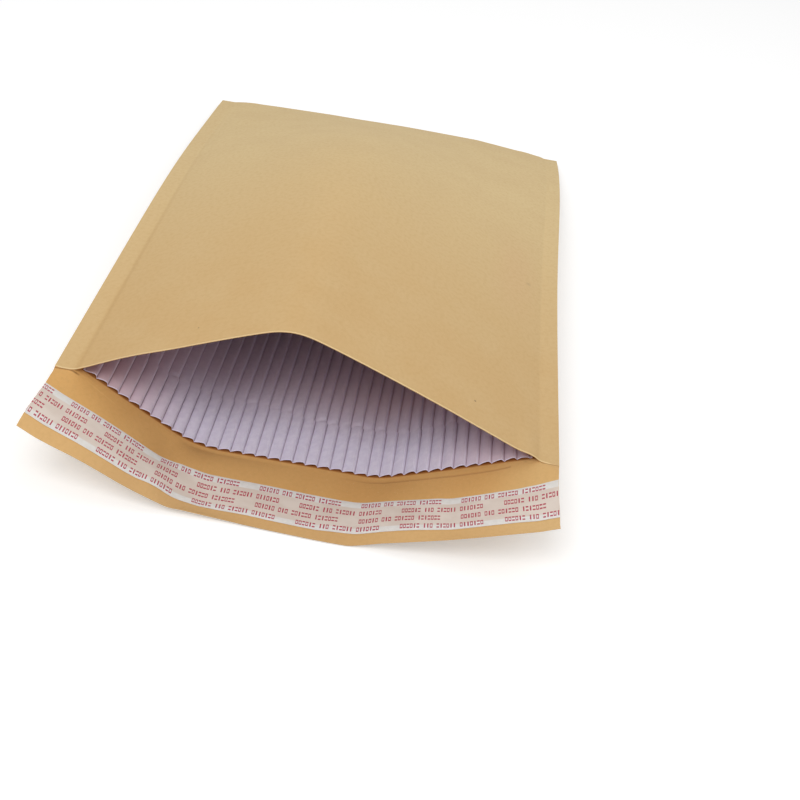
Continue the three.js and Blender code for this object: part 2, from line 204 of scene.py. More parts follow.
# The lining as it lies: pressed down at its edge and at the far fold, unequal from flute to flute,
# and dented across in one uneven row. The row's places are across and down, in millimetres.
# Beyond the row the flutes lie a little further left, which fades out into the pouch.
FLUTE_ROUNDNESS = 0.9
FLUTE_LEFT_AT_MOUTH = 0.72
FLUTE_MOUTH_START = 0.002
FLUTE_MOUTH_DEPTH = 0.03
FOLD_CRUSH_LENGTH = 0.02
LOWEST_FLUTE = 0.85
HIGHEST_FLUTE = 1.1
DENT_ROW = (
    (0, 36), (45, 37.4), (76, 42.5), (95, 44), (110, 43), (134, 40.2), (160, 39), (192, 38.4),
    (205, 39.2), (218, 41.4), (267, 44),
)
DENT_WIDTH = 0.0013
DENT_WANDER = 0.003
DENT_PRESS = 0.3
DENT_SHIFT = 0.0008
DENT_SHIFT_FULL = 0.0006
DENT_SHIFT_EASES = 0.001
DENT_SHIFT_END = 0.08
SHIFTED_FROM = 0.03
SHIFTED_TO = 0.235
SHIFTED_FADE = 0.03

# The liner's edges come down onto the kraft on each side of the adhesive
LINER_EDGE = 0.0018
LINER_RISE = ADHESIVE_THICKNESS + TAPE_GAP

# The liner's print: four rows of plain red marks, in runs of unequal groups. Every other row is
# set off sideways.
MARK_ROW_PITCH = LINER_WIDTH / 4
MARK_ROW_SHIFT = 0.030
MARK_START = 0.169
MARK_RUN = 0.051
MARK_CELL = 0.00164
MARK_RUNS_BEFORE = 8
MARK_CELLS = 25
MARK_GROUP = 7
MARK_GAPS = (6, 10, 17)
MARK_HALF_HEIGHT = 0.00145
MARK_HALF_WIDTH = 0.40
BAR_HALF_WIDTH = 0.2
CELL_MIDDLE = 0.44
BOX_HOLLOW = 0.52
DASH_HOLLOW = 0.4
BAR_CHANCE = 0.3
BAR_OR_BOX_CHANCE = 0.68

# Specks on the front panel: across, down, size and strength
SPECKS = ((0.0706, 0.0152, 0.0006, 0.8), (0.2182, 0.0184, 0.0009, 0.8), (0.2476, 0.1594, 0.0026, 0.2))

# Faces of the kraft sheet, as the third number of a place on the paper. The far fold lies between
# the two panels of its side.
INNER_BACK, INNER_FRONT, OUTER_BACK, OUTER_FRONT = 0, 1, 2, 3

# How the slopes of the front panel are fitted to the back panel's edge
FIT_CLOSE = 1e-8
FIT_NUDGE = 1e-4
FIT_LARGEST_TURN = 0.1
FIT_ROUNDS = 30


# The paper's shape


def smoothstep(x, low, high):
    t = np.clip((x - low) / (high - low), 0, 1)
    return t * t * (3 - 2 * t)


def between(across, start, end, start_spread, end_spread):
    """1 between two places across the sheet and 0 outside them, changing softly at each."""
    rising = smoothstep(across, start - start_spread / 2, start + start_spread / 2)
    falling = 1 - smoothstep(across, end - end_spread / 2, end + end_spread / 2)
    return rising * falling


def mix(a, b, share):
    return a + (b - a) * share


def stray(table, column, across):
    """A stray's size across the sheet, in metres, from a table in millimetres."""
    table = np.array(table, dtype=float) / 1000
    return np.interp(across, table[:, 0], table[:, column])


def through(x, stops, which):
    """A smooth curve that is 1 at one of the stops and 0 at the others."""
    others = [stop for i, stop in enumerate(stops) if i != which]
    return np.prod([(x - other) / (stops[which] - other) for other in others], axis=0)


class Line:
    """The line that the paper takes across the envelope, walked in short steps along its slope."""

    def __init__(self, slope_at, start=0.0):
        count = round(SHEET_WIDTH / WALK_STEP)
        step = SHEET_WIDTH / count
        slopes = slope_at((np.arange(count) + 0.5) * step)
        self.along = np.arange(count + 1) * step
        self.x = np.concatenate([[0], np.cumsum(step * np.cos(slopes))])
        self.z = start + np.concatenate([[0], np.cumsum(step * np.sin(slopes))])

    def at(self, across):
        x = np.interp(across, self.along, self.x)
        z = np.interp(across, self.along, self.z)
        return np.stack([x, np.zeros_like(x), z], axis=-1)


def padding_slope(across, left_amount, right_amount):
    left_end = LEFT_CREASE + PADDING_RUN / 2
    right_end = RIGHT_CREASE - PADDING_RUN / 2
    left = between(across, LEFT_CREASE, left_end, SEAM_CREASE, PADDING_RUN)
    right = between(across, right_end, RIGHT_CREASE, PADDING_RUN, SEAM_CREASE)
    return PADDING_SLOPE * (left_amount * left - right_amount * right)


def back_slope(across, left_open, right_open):
    left = between(across, LEFT_CREASE, LEFT_BEND_AT, SEAM_CREASE, LEFT_BEND_SPREAD)
    right = between(across, RIGHT_BEND_AT, RIGHT_CREASE, RIGHT_BEND_SPREAD, SEAM_CREASE)
    padding = padding_slope(across, 1 - left_open, 1 - right_open)
    return RIGHT_LIFT * right_open * right - LEFT_LIFT * left_open * left - padding


def front_slope(across, left_open, right_open, spread, angles):
    left_part = np.clip((across - LEFT_CREASE) / (RIDGE_AT - LEFT_CREASE), 0, 1) * 2 - 1
    right_part = np.clip((across - RIDGE_AT) / (RIGHT_CREASE - RIDGE_AT), 0, 1) * 2 - 1
    left = between(across, LEFT_CREASE, RIDGE_AT, SEAM_CREASE, spread)
    right = between(across, RIDGE_AT, RIGHT_CREASE, spread, SEAM_CREASE)
    rising = angles[0] * left * (1 + LEFT_BOW * left_part)
    falling = angles[1] * right * (1 + RIGHT_BOW * right_part)
    return padding_slope(across, 1 - left_open, 1 - right_open) + rising - falling


def walk_front(left_open, right_open, spread, back, start, end_height):
    """The front panel's line: its two slopes bring its right edge onto the back panel's."""

    def walk(angles):
        return Line(lambda across: front_slope(across, left_open, right_open, spread, angles), start)

    def miss(angles):
        line = walk(angles)
        return np.array([line.x[-1] - back.x[-1], line.z[-1] - end_height])

    if max(abs(left_open), abs(right_open)) < FIT_CLOSE:
        return walk([0, 0])
    angles = np.array([LEFT_LIFT * left_open, RIGHT_LIFT * right_open])
    for _ in range(FIT_ROUNDS):
        off = miss(angles)
        if np.hypot(*off) < FIT_CLOSE:
            break
        nudges = np.eye(2) * FIT_NUDGE
        slopes = np.stack([(miss(angles + nudge) - off) / FIT_NUDGE for nudge in nudges], axis=1)
        turn = np.linalg.solve(slopes, -off)
        angles = angles + np.clip(turn, -FIT_LARGEST_TURN, FIT_LARGEST_TURN)
    return walk(angles)


def pouch_section(share, columns):
    """The back and front panels' points at one share of the length, y not yet set."""
    left_open = 1 - share**LEFT_FADE_POWER
    left_open += LEFT_WAVER * math.sin(2 * math.pi * share**WAVER_POWER)
    dip_share = max((share - LEFT_DIP_FROM) / (1 - LEFT_DIP_FROM), 0)
    left_open -= LEFT_DIP * math.sin(math.pi * dip_share**WAVER_POWER)
    right_open = 1 - share**RIGHT_FADE_POWER
    back = Line(lambda across: back_slope(across, left_open, right_open))
    lift = -back.z.min()
    spread = mix(RIDGE_SPREAD, RIDGE_SPREAD_AT_FOLD, share**2)
    front = walk_front(left_open, right_open, spread, back, lift, back.z[-1] + lift)
    centre = np.array([back.x[-1] / 2, 0, 0])
    low = back.at(columns) - centre + np.array([0, 0, lift])
    high = front.at(columns) - centre
    in_left_seam = columns <= LEFT_CREASE - SEAM_CREASE / 2
    in_right_seam = columns >= RIGHT_CREASE + SEAM_CREASE / 2
    glued = in_left_seam | in_right_seam
    high[glued] = low[glued]
    return low, high


def lay_before(row, last, length):
    """Gives a row its y, nearer than the last row's, so that the paper keeps its cut length."""
    gap = row - last
    level = np.sqrt(np.maximum(length**2 - gap[:, 0] ** 2 - gap[:, 2] ** 2, 0))
    row[:, 1] = last[:, 1] - level


def pouch_rows(columns, downs):
    """The back and front panels as grids of points, the mouth's row first."""
    sections = [pouch_section(down / BODY_LENGTH, columns) for down in downs]
    panels = [np.stack([s[k] for s in sections]) for k in (0, 1)]
    for panel in panels:
        panel[-1, :, 1] = BODY_LENGTH
        for i in range(len(downs) - 2, -1, -1):
            lay_before(panel[i], panel[i + 1], downs[i + 1] - downs[i])
    near_far_end = smoothstep(downs, BODY_LENGTH - FAR_STRAY_DEPTH, BODY_LENGTH)
    panels[1][..., 2] += near_far_end[:, None] * stray(FAR_STRAYS, 1, columns)
    return panels


def flap_section(share, columns):
    hump = math.sin(math.pi * share)
    left_lift = mix(LEFT_LIFT, FLAP_LEFT_LIFT, share) + hump * FLAP_LEFT_HUMP
    right_lift = mix(RIGHT_LIFT, FLAP_RIGHT_LIFT, share) + hump * FLAP_RIGHT_HUMP
    left_bend = mix(LEFT_BEND_AT, FLAP_LEFT_BEND_AT, share)
    right_bend = mix(RIGHT_BEND_AT, FLAP_RIGHT_BEND_AT, share)
    left_spread = mix(LEFT_BEND_SPREAD, FLAP_BEND_SPREAD, share)
    right_spread = mix(RIGHT_BEND_SPREAD, FLAP_BEND_SPREAD, share)
    side = mix(SEAM_WIDTH, -SEAM_CREASE, min(share / FLAP_BAND_END, 1))

    def slope_at(across):
        left = between(across, side, left_bend, SEAM_CREASE, left_spread)
        right = between(across, right_bend, SHEET_WIDTH - side, right_spread, SEAM_CREASE)
        level = between(across, left_bend, right_bend, left_spread, right_spread)
        return right_lift * right - left_lift * left - share * FLAP_MIDDLE_TILT * level

    line = Line(slope_at)
    return line.at(columns) - np.array([0, 0, line.z.min()])


def flap_rows(mouth_row, columns, distances):
    """The flap as a grid of points, from the mouth outwards."""
    middle = np.argmin(np.abs(columns - SHEET_WIDTH / 2))
    rows = [mouth_row.copy()]
    for i, distance in enumerate(distances[1:], start=1):
        row = flap_section(distance / FLAP_LENGTH, columns)
        row[:, 0] += mouth_row[middle, 0] - row[middle, 0]
        lay_before(row, rows[-1], distance - distances[i - 1])
        rows.append(row)
    grid = np.stack(rows)

    # The strays are met exactly at the last three stops. No paper lies below the table.
    stops = (0, LINER_FROM_MOUTH, LINER_END, FLAP_LENGTH)
    for stop, raised, reach in ((1, 1, None), (2, 2, 4), (3, 3, 5)):
        weight = through(distances, stops, stop)[:, None]
        grid[..., 2] += weight * stray(FLAP_STRAYS, raised, columns)
        if reach:
            grid[..., 1] -= weight * stray(FLAP_STRAYS, reach, columns)
    grid[..., 2] = np.maximum(grid[..., 2], 0)
    outward = smoothstep(distances, TRIM_FROM_DISTANCE, FLAP_LENGTH)[:, None]
    grid[..., 0] -= FLAP_TRIM * outward * smoothstep(columns, TRIM_FROM_ACROSS, SHEET_WIDTH)
    return grid


def grid_normals(grid):
    """Unit normals of a grid of points, on the side that is up where +across is right."""
    along = np.gradient(grid, axis=1)
    down = np.gradient(grid, axis=0)
    normals = np.cross(along, down)
    return normals / np.linalg.norm(normals, axis=-1, keepdims=True)


def fold_rows(low, low_inward, high, high_inward, steps):
    """The turn at the far end, from the back panel's last row round to the front panel's."""
    toward_mouth = np.array([0.0, -1.0, 0.0])
    points, inwards = [], []
    for i in range(1, steps):
        angle = math.radians(-90 + 180 * i / steps)
        radius = (high[:, 2] - low[:, 2]) / 2
        point = low.copy()
        point[:, 1] += radius * math.cos(angle)
        point[:, 2] += radius * (1 + math.sin(angle))
        side = low_inward if angle < 0 else high_inward
        inward = side * abs(math.sin(angle)) + toward_mouth * math.cos(angle)
        points.append(point)
        inwards.append(inward / np.linalg.norm(inward, axis=1, keepdims=True))
    return np.stack(points), np.stack(inwards)


# Meshes

WELD_REACH = 2e-6
SHARP_ANGLE = math.radians(50)


class Solid:
    """Collects grids of points with their places on the paper, and closes them into one mesh."""

    def __init__(self):
        self.points, self.places, self.faces, self.count = [], [], [], 0

    def patch(self, grid, places, outward):
        rows, columns = grid.shape[:2]
        index = np.arange(rows * columns).reshape(rows, columns) + self.count
        quads = np.stack([index[:-1, :-1], index[:-1, 1:], index[1:, 1:], index[1:, :-1]], axis=-1)
        if outward:
            quads = quads[..., ::-1]
        self.faces.append(quads.reshape(-1, 4))
        self.points.append(grid.reshape(-1, 3))
        self.places.append(places.reshape(-1, 3))
        self.count += rows * columns

    def rim(self, first, second, first_places, second_places):
        self.patch(np.stack([first, second]), np.stack([first_places, second_places]), False)

    def build(self, name):
        points = np.concatenate(self.points) + TO_ROW
        mesh = bpy.data.meshes.new(name)
        mesh.from_pydata(points.tolist(), [], np.concatenate(self.faces).tolist())
        place = mesh.attributes.new("paper", "FLOAT_VECTOR", "POINT")
        place.data.foreach_set("vector", np.concatenate(self.places).astype(np.float32).ravel())
        piece = bpy.data.objects.new(name, mesh)
        bpy.context.scene.collection.objects.link(piece)
        weld = piece.modifiers.new("weld", "WELD")
        weld.merge_threshold = WELD_REACH
        bpy.context.view_layer.objects.active = piece
        piece.select_set(True)
        bpy.ops.object.modifier_apply(modifier=weld.name)
        piece.select_set(False)
        for polygon in piece.data.polygons:
            polygon.use_smooth = True
        piece.data.set_sharp_from_angle(angle=SHARP_ANGLE)
        return piece


def build_sheet(name, outer, inner, outer_places, inner_places):
    """Builds a sheet as one mesh: a face on each side and a rim all round."""
    solid = Solid()
    solid.patch(outer, outer_places, True)
    solid.patch(inner, inner_places, False)
    solid.rim(outer[0], inner[0], outer_places[0], inner_places[0])
    solid.rim(inner[-1], outer[-1], inner_places[-1], outer_places[-1])
    solid.rim(inner[:, 0], outer[:, 0], inner_places[:, 0], outer_places[:, 0])
    solid.rim(outer[:, -1], inner[:, -1], outer_places[:, -1], inner_places[:, -1])
    return solid.build(name)


def spaced(*stops):
    """Places from the first stop to the last, each stretch cut evenly: (start, (end, cuts), ...)."""
    places = [np.array([stops[0]])]
    for end, cuts in stops[1:]:
        places.append(np.linspace(places[-1][-1], end, cuts + 1)[1:])
    return np.concatenate(places)


def paper_places(columns, downs, face):
    """The places on the paper of a grid of points: across, down and the face's number."""
    grid = np.zeros((len(downs), len(columns), 3))
    grid[..., 0] = columns[None, :]
    grid[..., 1] = np.asarray(downs)[:, None]
    grid[..., 2] = face
    return grid


CREASE_HALF = SEAM_CREASE / 2
kraft_columns = spaced(
    0.0,
    (LEFT_CREASE - CREASE_HALF, 5),
    (LEFT_CREASE + CREASE_HALF, 4),
    (LEFT_CREASE + PADDING_RUN, 14),
    (RIGHT_CREASE - PADDING_RUN, 100),
    (RIGHT_CREASE - CREASE_HALF, 14),
    (RIGHT_CREASE + CREASE_HALF, 4),
    (SHEET_WIDTH, 5),
)
body_downs = spaced(0.0, (0.012, 10), (0.060, 24), (BODY_LENGTH, 90))
flap_distances = spaced(0.0, (0.003, 12), (0.008, 8), (FLAP_LENGTH, 34))
FOLD_STEPS = 10
GLUE_GAP = 0.00005

back_points, front_points = pouch_rows(kraft_columns, body_downs)
near_mouth = 1 - smoothstep(body_downs, 0, LIP_STRAY_DEPTH)[:, None]
front_points[..., 2] += near_mouth * stray(LIP_STRAYS, 1, kraft_columns)
near_lip = 1 - smoothstep(body_downs, 0, LIP_REACH_DEPTH)[:, None]
front_points[..., 1] -= near_lip * stray(LIP_STRAYS, 2, kraft_columns)
flap_points = flap_rows(back_points[0], kraft_columns, flap_distances)

low_grid = np.concatenate([flap_points[:0:-1], back_points])
low_inward = grid_normals(low_grid)
front_inward = -grid_normals(front_points)
turn_points, turn_inward = fold_rows(
    back_points[-1], low_inward[-1], front_points[-1], front_inward[-1], FOLD_STEPS
)
low_downs = np.concatenate([-flap_distances[:0:-1], body_downs])
turn_downs = np.full(FOLD_STEPS - 1, BODY_LENGTH)

sheet_points = np.concatenate([low_grid, turn_points, front_points[::-1]])
sheet_inward = np.concatenate([low_inward, turn_inward, front_inward[::-1]])
inner_places = np.concatenate([
    paper_places(kraft_columns, low_downs, INNER_BACK),
    paper_places(kraft_columns, turn_downs, (INNER_BACK + INNER_FRONT) / 2),
    paper_places(kraft_columns, body_downs[::-1], INNER_FRONT),
])
outer_places = inner_places + [0, 0, OUTER_BACK - INNER_BACK]


def score_depth(across, down):
    """How far the crease beside the mouth's line is pressed into the paper."""
    off = (-down - stray(SCORE_LINE, 1, across)) / SCORE_WIDTH
    here = between(across, SCORE_FROM, SCORE_TO, SCORE_FADE_IN, SCORE_FADE_OUT) * (down <= 0)
    return SCORE_DEPTH * here * np.exp(-(off**2))


sheet_points -= sheet_inward * score_depth(inner_places[..., 0], inner_places[..., 1])[..., None]
kraft_outer = sheet_points - sheet_inward * KRAFT_THICKNESS

# The seams' two layers stay a hair apart, and open where the lip is raised
in_seam = (kraft_columns < LEFT_CREASE) | (kraft_columns > RIGHT_CREASE)
in_seam[[0, -1]] = False
kraft_inner = sheet_points - sheet_inward * (in_seam * GLUE_GAP / 2)[None, :, None]

kraft = build_sheet("kraft_paper", kraft_outer, kraft_inner, outer_places, inner_places)


# Fluted lining

SPARE_FLUTES = 3
SCATTER_STEP = 12.9898
SCATTER_SEED = 78.233
SCATTER_SCALE = 43758.5453
WANDER_SEED, HEIGHT_SEED, SHIFT_SEED, DENT_SEED = 1, 2, 3, 4


def flute_profile(part):
    """Height of a wave that leans over: a slow round rise and a steep drop."""
    rise = np.sin(np.clip(part / FLUTE_PEAK_AT, 0, 1) * math.pi / 2) ** FLUTE_ROUNDNESS
    drop = np.cos(np.clip((part - FLUTE_PEAK_AT) / (1 - FLUTE_PEAK_AT), 0, 1) * math.pi / 2)
    return np.where(part < FLUTE_PEAK_AT, rise, drop)


def flute_wave(across):
    """The wave's height from 0 to 1, flat beside the seams."""
    place = (across - FIRST_FLUTE) / FLUTE_PITCH
    inside = (place > 0) & (place < FLUTE_COUNT)
    return np.where(inside, flute_profile(place - np.floor(place)), 0)


def crest_rise(low, high, inward):
    """How far the crests stand off the valleys, pressed flat where the panels are close together."""
    room = (high[..., 2] - low[..., 2]) / 2 * inward[..., 2]
    taken = LINING_GAP + LINING_SPARE / 2 + LINING_PAPER
    return np.clip(room - taken, 0, FLUTE_HEIGHT - LINING_PAPER)


def flute_chance(across, seed):
    """A steady number from 0 to 1 for each flute, running evenly into the next one's."""
    numbers = np.arange(-SPARE_FLUTES, FLUTE_COUNT + SPARE_FLUTES + 1)
    values = np.mod(np.abs(np.sin(numbers * SCATTER_STEP + seed * SCATTER_SEED) * SCATTER_SCALE), 1)
    return np.interp((across - FIRST_FLUTE) / FLUTE_PITCH - 0.5, numbers, values)


def past_dents(across, down):
    """How far a place lies beyond the uneven row of dents."""
    wander = (flute_chance(across, WANDER_SEED) - 0.5) * DENT_WANDER
    return down - stray(DENT_ROW, 1, across) - wander


flute_parts = np.array([0, 0.12, 0.3, 0.48, 0.66, FLUTE_PEAK_AT, 0.89, 0.95])
lining_columns = np.concatenate([
    [LEFT_CREASE + LINING_SIDE_MARGIN],
    (FIRST_FLUTE + (np.arange(FLUTE_COUNT)[:, None] + flute_parts) * FLUTE_PITCH).ravel(),
    [FIRST_FLUTE + FLUTE_COUNT * FLUTE_PITCH, RIGHT_CREASE - LINING_SIDE_MARGIN],
])
lining_downs = spaced(0.0, (0.034, 10), (0.048, 16), (0.080, 8), (0.150, 9), (BODY_LENGTH, 15))
lining_back, lining_front = pouch_rows(lining_columns, lining_downs)
crests = crest_rise(lining_back, lining_front, grid_normals(lining_back))
dent_reach = past_dents(lining_columns[None, :], lining_downs[:, None])
dent_size = DENT_PRESS * smoothstep(flute_chance(lining_columns, DENT_SEED), 0.1, 0.9)
pressed = 1 - dent_size * np.exp(-((dent_reach / DENT_WIDTH) ** 2))
at_mouth = smoothstep(lining_downs, FLUTE_MOUTH_START, FLUTE_MOUTH_DEPTH)[:, None]
crests *= pressed * mix(FLUTE_LEFT_AT_MOUTH, 1, at_mouth)
crests *= mix(LOWEST_FLUTE, HIGHEST_FLUTE, flute_chance(lining_columns, HEIGHT_SEED))
crests = np.minimum(crests, FLUTE_HEIGHT)

shifted = smoothstep(dent_reach, -DENT_WIDTH, DENT_SHIFT_FULL)
shifted *= 1 - smoothstep(dent_reach, DENT_SHIFT_EASES, DENT_SHIFT_END)
shifted *= between(lining_columns, SHIFTED_FROM, SHIFTED_TO, SHIFTED_FADE, SHIFTED_FADE)
shifted *= mix(0.5, 1, flute_chance(lining_columns, SHIFT_SEED))
for i, row in enumerate(lining_back.copy()):
    wanted = lining_columns - DENT_SHIFT * shifted[i]
    for axis in range(3):
        lining_back[i, :, axis] = np.interp(wanted, lining_columns, row[:, axis])


def trim(panel, inset):
    """Cuts the panel's first row back from the mouth's line."""
    share = inset / (lining_downs[1] - lining_downs[0])
    first = int(share)
    cut = mix(panel[first], panel[first + 1], share - first)
    kept = np.concatenate([cut[None], panel[first + 1 :]])
    return kept, np.concatenate([[inset], lining_downs[first + 1 :]])


lining_back, back_downs = trim(lining_back, BACK_LINING_INSET)
lining_front, front_downs = trim(lining_front, FRONT_LINING_INSET)
back_inward, front_lining_inward = grid_normals(lining_back), -grid_normals(lining_front)
LINING_FOLD_STEPS = 8
lining_turn, lining_turn_inward = fold_rows(
    lining_back[-1], back_inward[-1], lining_front[-1], front_lining_inward[-1], LINING_FOLD_STEPS
)
lining_turn_downs = np.full(LINING_FOLD_STEPS - 1, BODY_LENGTH)
lining_points = np.concatenate([lining_back, lining_turn, lining_front[::-1]])
lining_inward = np.concatenate([back_inward, lining_turn_inward, front_lining_inward[::-1]])
lining_places = np.concatenate([
    paper_places(lining_columns, back_downs, INNER_BACK),
    paper_places(lining_columns, lining_turn_downs, (INNER_BACK + INNER_FRONT) / 2),
    paper_places(lining_columns, front_downs[::-1], INNER_FRONT),
])
near_fold = smoothstep(lining_places[..., 1], BODY_LENGTH - FOLD_CRUSH_LENGTH, BODY_LENGTH)
crush = mix(1, FLUTE_LEFT_AT_FOLD, near_fold)
back_crests, front_crests = crests[-len(back_downs) :], crests[-len(front_downs) :]
turn_crests = np.repeat(crests[-1:], LINING_FOLD_STEPS - 1, axis=0)
crest_rows = np.concatenate([back_crests, turn_crests, front_crests[::-1]])
lining_depth = LINING_GAP + flute_wave(lining_columns)[None, :] * crest_rows * crush
lining_outer = lining_points + lining_inward * lining_depth[..., None]
lining_inner = lining_points + lining_inward * (lining_depth + LINING_PAPER)[..., None]
lining = build_sheet("lining_paper", lining_outer, lining_inner, lining_places, lining_places)


# Adhesive band and release liner


def tape(name, wanted, heights, thickness):
    """A strip that lies on the flap, at the wanted distances from the mouth, farthest first."""
    grid = np.empty((len(wanted), len(kraft_columns), 3))
    inward = np.empty_like(grid)
    flap_inward = low_inward[: len(flap_distances)][::-1]
    for axis in range(3):
        for column in range(len(kraft_columns)):
            grid[:, column, axis] = np.interp(wanted, flap_distances, flap_points[:, column, axis])
            inward[:, column, axis] = np.interp(wanted, flap_distances, flap_inward[:, column, axis])
    places = paper_places(kraft_columns, -wanted, INNER_BACK)
    lower = grid + inward * heights[:, None, None]
    upper = grid + inward * (heights[:, None, None] + thickness)
    return build_sheet(name, lower, upper, places, places)


ADHESIVE_ROWS = 9
adhesive_rows = np.linspace(
    LINER_END - ADHESIVE_MARGIN, LINER_FROM_MOUTH + ADHESIVE_MARGIN, ADHESIVE_ROWS
)
adhesive_heights = np.full(ADHESIVE_ROWS, TAPE_GAP)
adhesive = tape("adhesive_strip", adhesive_rows, adhesive_heights, ADHESIVE_THICKNESS)

liner_rows = spaced(
    LINER_END,
    (LINER_END - LINER_EDGE, 5),
    (LINER_FROM_MOUTH + LINER_EDGE, 14),
    (LINER_FROM_MOUTH, 5),
)
from_edge = np.minimum(LINER_END - liner_rows, liner_rows - LINER_FROM_MOUTH)
liner_heights = TAPE_GAP + LINER_RISE * smoothstep(from_edge, 0, LINER_EDGE)
liner = tape("liner_strip", liner_rows, liner_heights, LINER_THICKNESS)


# Materials


def srgb(red, green, blue):
    """A colour of the sRGB scale from 0 to 255, as linear numbers."""

    def linear(value):
        value /= 255
        return value / 12.92 if value <= 0.04045 else ((value + 0.055) / 1.055) ** 2.4

    return linear(red), linear(green), linear(blue), 1.0


NOISE_ROUGHNESS = 0.55


class Shader:
    """A node material, with short calls for the nodes that it is built from."""

    def __init__(self, name):
        self.material = bpy.data.materials.new(name)
        self.material.use_nodes = True
        self.tree = self.material.node_tree
        self.surface = self.tree.nodes["Principled BSDF"]

    def node(self, kind, inputs=None, **settings):
        made = self.tree.nodes.new(kind)
        for key, value in settings.items():
            setattr(made, key, value)
        for key, value in (inputs or {}).items():
            self.give(made.inputs[key], value)
        return made

    def give(self, socket, value):
        if isinstance(value, bpy.types.NodeSocket):
            self.tree.links.new(value, socket)
        else:
            socket.default_value = value

    def place(self):
        """A point's place on the paper: as a vector, then its across, its down and its face."""
        paper = self.node("ShaderNodeAttribute", attribute_name="paper")
        parts = self.node("ShaderNodeSeparateXYZ", {"Vector": paper.outputs["Vector"]})
        return paper.outputs["Vector"], parts.outputs[0], parts.outputs[1], parts.outputs[2]

    def math(self, operation, *values):
        inputs = dict(enumerate(values))
        return self.node("ShaderNodeMath", inputs, operation=operation).outputs[0]

    def times(self, first, second):
        return self.math("MULTIPLY", first, second)

    def over(self, first, second):
        return self.math("DIVIDE", first, second)

    def plus(self, first, second):
        return self.math("ADD", first, second)

    def minus(self, first, second):
        return self.math("SUBTRACT", first, second)

    def stretch(self, vector, scale):
        inputs = {0: vector, 1: scale}
        return self.node("ShaderNodeVectorMath", inputs, operation="MULTIPLY").outputs[0]

    def noise(self, vector, scale, detail):
        inputs = {"Vector": vector, "Scale": scale, "Detail": detail, "Roughness": NOISE_ROUGHNESS}
        return self.node("ShaderNodeTexNoise", inputs).outputs["Fac"]

    def ramp(self, value, low, high, to_low=0.0, to_high=1.0):
        """Maps low..high smoothly to to_low..to_high."""
        inputs = {"Value": value, 1: low, 2: high, 3: to_low, 4: to_high}
        made = self.node("ShaderNodeMapRange", inputs, interpolation_type="SMOOTHSTEP")
        return made.outputs[0]

    def around(self, value, middle, reach):
        """1 at the middle, fading softly to 0 at the reach on each side."""
        return self.ramp(self.math("ABSOLUTE", self.minus(value, middle)), reach, 0)

    def pick(self, value, limit, below, above):
        """One of two values, by whether a number is below a limit."""
        inputs = {0: self.math("LESS_THAN", value, limit), 2: above, 3: below}
        return self.node("ShaderNodeMix", inputs, data_type="FLOAT").outputs[0]

    def score(self, across, down):
        """1 along the crease beside the mouth's line."""
        share = self.over(across, SHEET_WIDTH)
        curve = self.node("ShaderNodeFloatCurve", {"Value": share})
        points = curve.mapping.curves[0].points
        places = [(at / (SHEET_WIDTH * 1000), out / SCORE_CURVE_TOP) for at, out in SCORE_LINE]
        points[0].location, points[1].location = places[0], places[-1]
        for place in places[1:-1]:
            points.new(*place)
        curve.mapping.update()
        line = self.times(curve.outputs[0], SCORE_CURVE_TOP / 1000)
        near = self.around(self.plus(down, line), 0, SCORE_SHADE_AND_BUMP_REACH)
        start, end = SCORE_FADE_IN / 2, SCORE_FADE_OUT / 2
        started = self.ramp(across, SCORE_FROM - start, SCORE_FROM + start)
        not_ended = self.ramp(across, SCORE_TO + end, SCORE_TO - end)
        return self.times(near, self.times(started, not_ended))

    def blend(self, factor, first, second):
        inputs = {0: factor, 6: first, 7: second}
        return self.node("ShaderNodeMix", inputs, data_type="RGBA").outputs[2]

    def bump(self, height, distance, strength=1.0, normal=None):
        inputs = {"Height": height, "Distance": distance, "Strength": strength}
        if normal is not None:
            inputs["Normal"] = normal
        return self.node("ShaderNodeBump", inputs).outputs["Normal"]

    def finish(self, color, roughness, normal=None):
        self.give(self.surface.inputs["Base Color"], color)
        self.give(self.surface.inputs["Roughness"], roughness)
        if normal is not None:
            self.give(self.surface.inputs["Normal"], normal)
        return self.material


# In the materials, places are in metres along the paper. A ramp that is given four numbers ends with
# its values at both ends. Where it feeds a blend, these say how strong the tint is.


def kraft_outside(s, across, down, patch):
    """Stronger in colour by the mouth and paler towards the far end."""
    color = s.blend(s.ramp(down, 0.0, 0.31), srgb(208, 172, 118), srgb(223, 197, 146))
    color = s.blend(s.ramp(patch, 0.35, 0.7, 0, 0.35), color, srgb(214, 184, 134))
    # Painted shade: a darker, pinker patch beside the right seam band
    painted_shade_near_right_band = s.times(s.around(across, 0.238, 0.022), s.around(down, 0.16, 0.07))
    color = s.blend(s.times(painted_shade_near_right_band, 0.35), color, srgb(216, 176, 130))
    # Painted shade along the left seam's crease, fading out towards the far end
    painted_crease_shade = s.times(s.around(across, 0.0115, 0.0022), s.ramp(down, 0.35, 0.05))
    color = s.blend(s.times(painted_crease_shade, 0.25), color, srgb(186, 146, 92))
    # Painted light: the flat left seam band is made lighter
    in_left_seam = s.ramp(across, 0.010, 0.008, 0, 0.3)
    return s.blend(in_left_seam, color, srgb(219, 190, 140))


def shade_under_lip(s, across, down):
    """1 along the lip's two ends, where it lies on the flap."""
    inputs = {"Value": across, 1: 0.2585, 2: 0.267, 3: 0.0002, 4: 0.0021}
    reach = s.node("ShaderNodeMapRange", inputs).outputs[0]
    reach = s.plus(reach, s.ramp(across, 0.018, 0.008, 0, 0.0003))
    beside = s.around(s.plus(s.plus(down, reach), 0.0009), 0, 0.0009)
    seams = s.plus(s.ramp(across, 0.014, 0.011), s.ramp(across, 0.2575, 0.2585))
    return s.times(beside, seams)


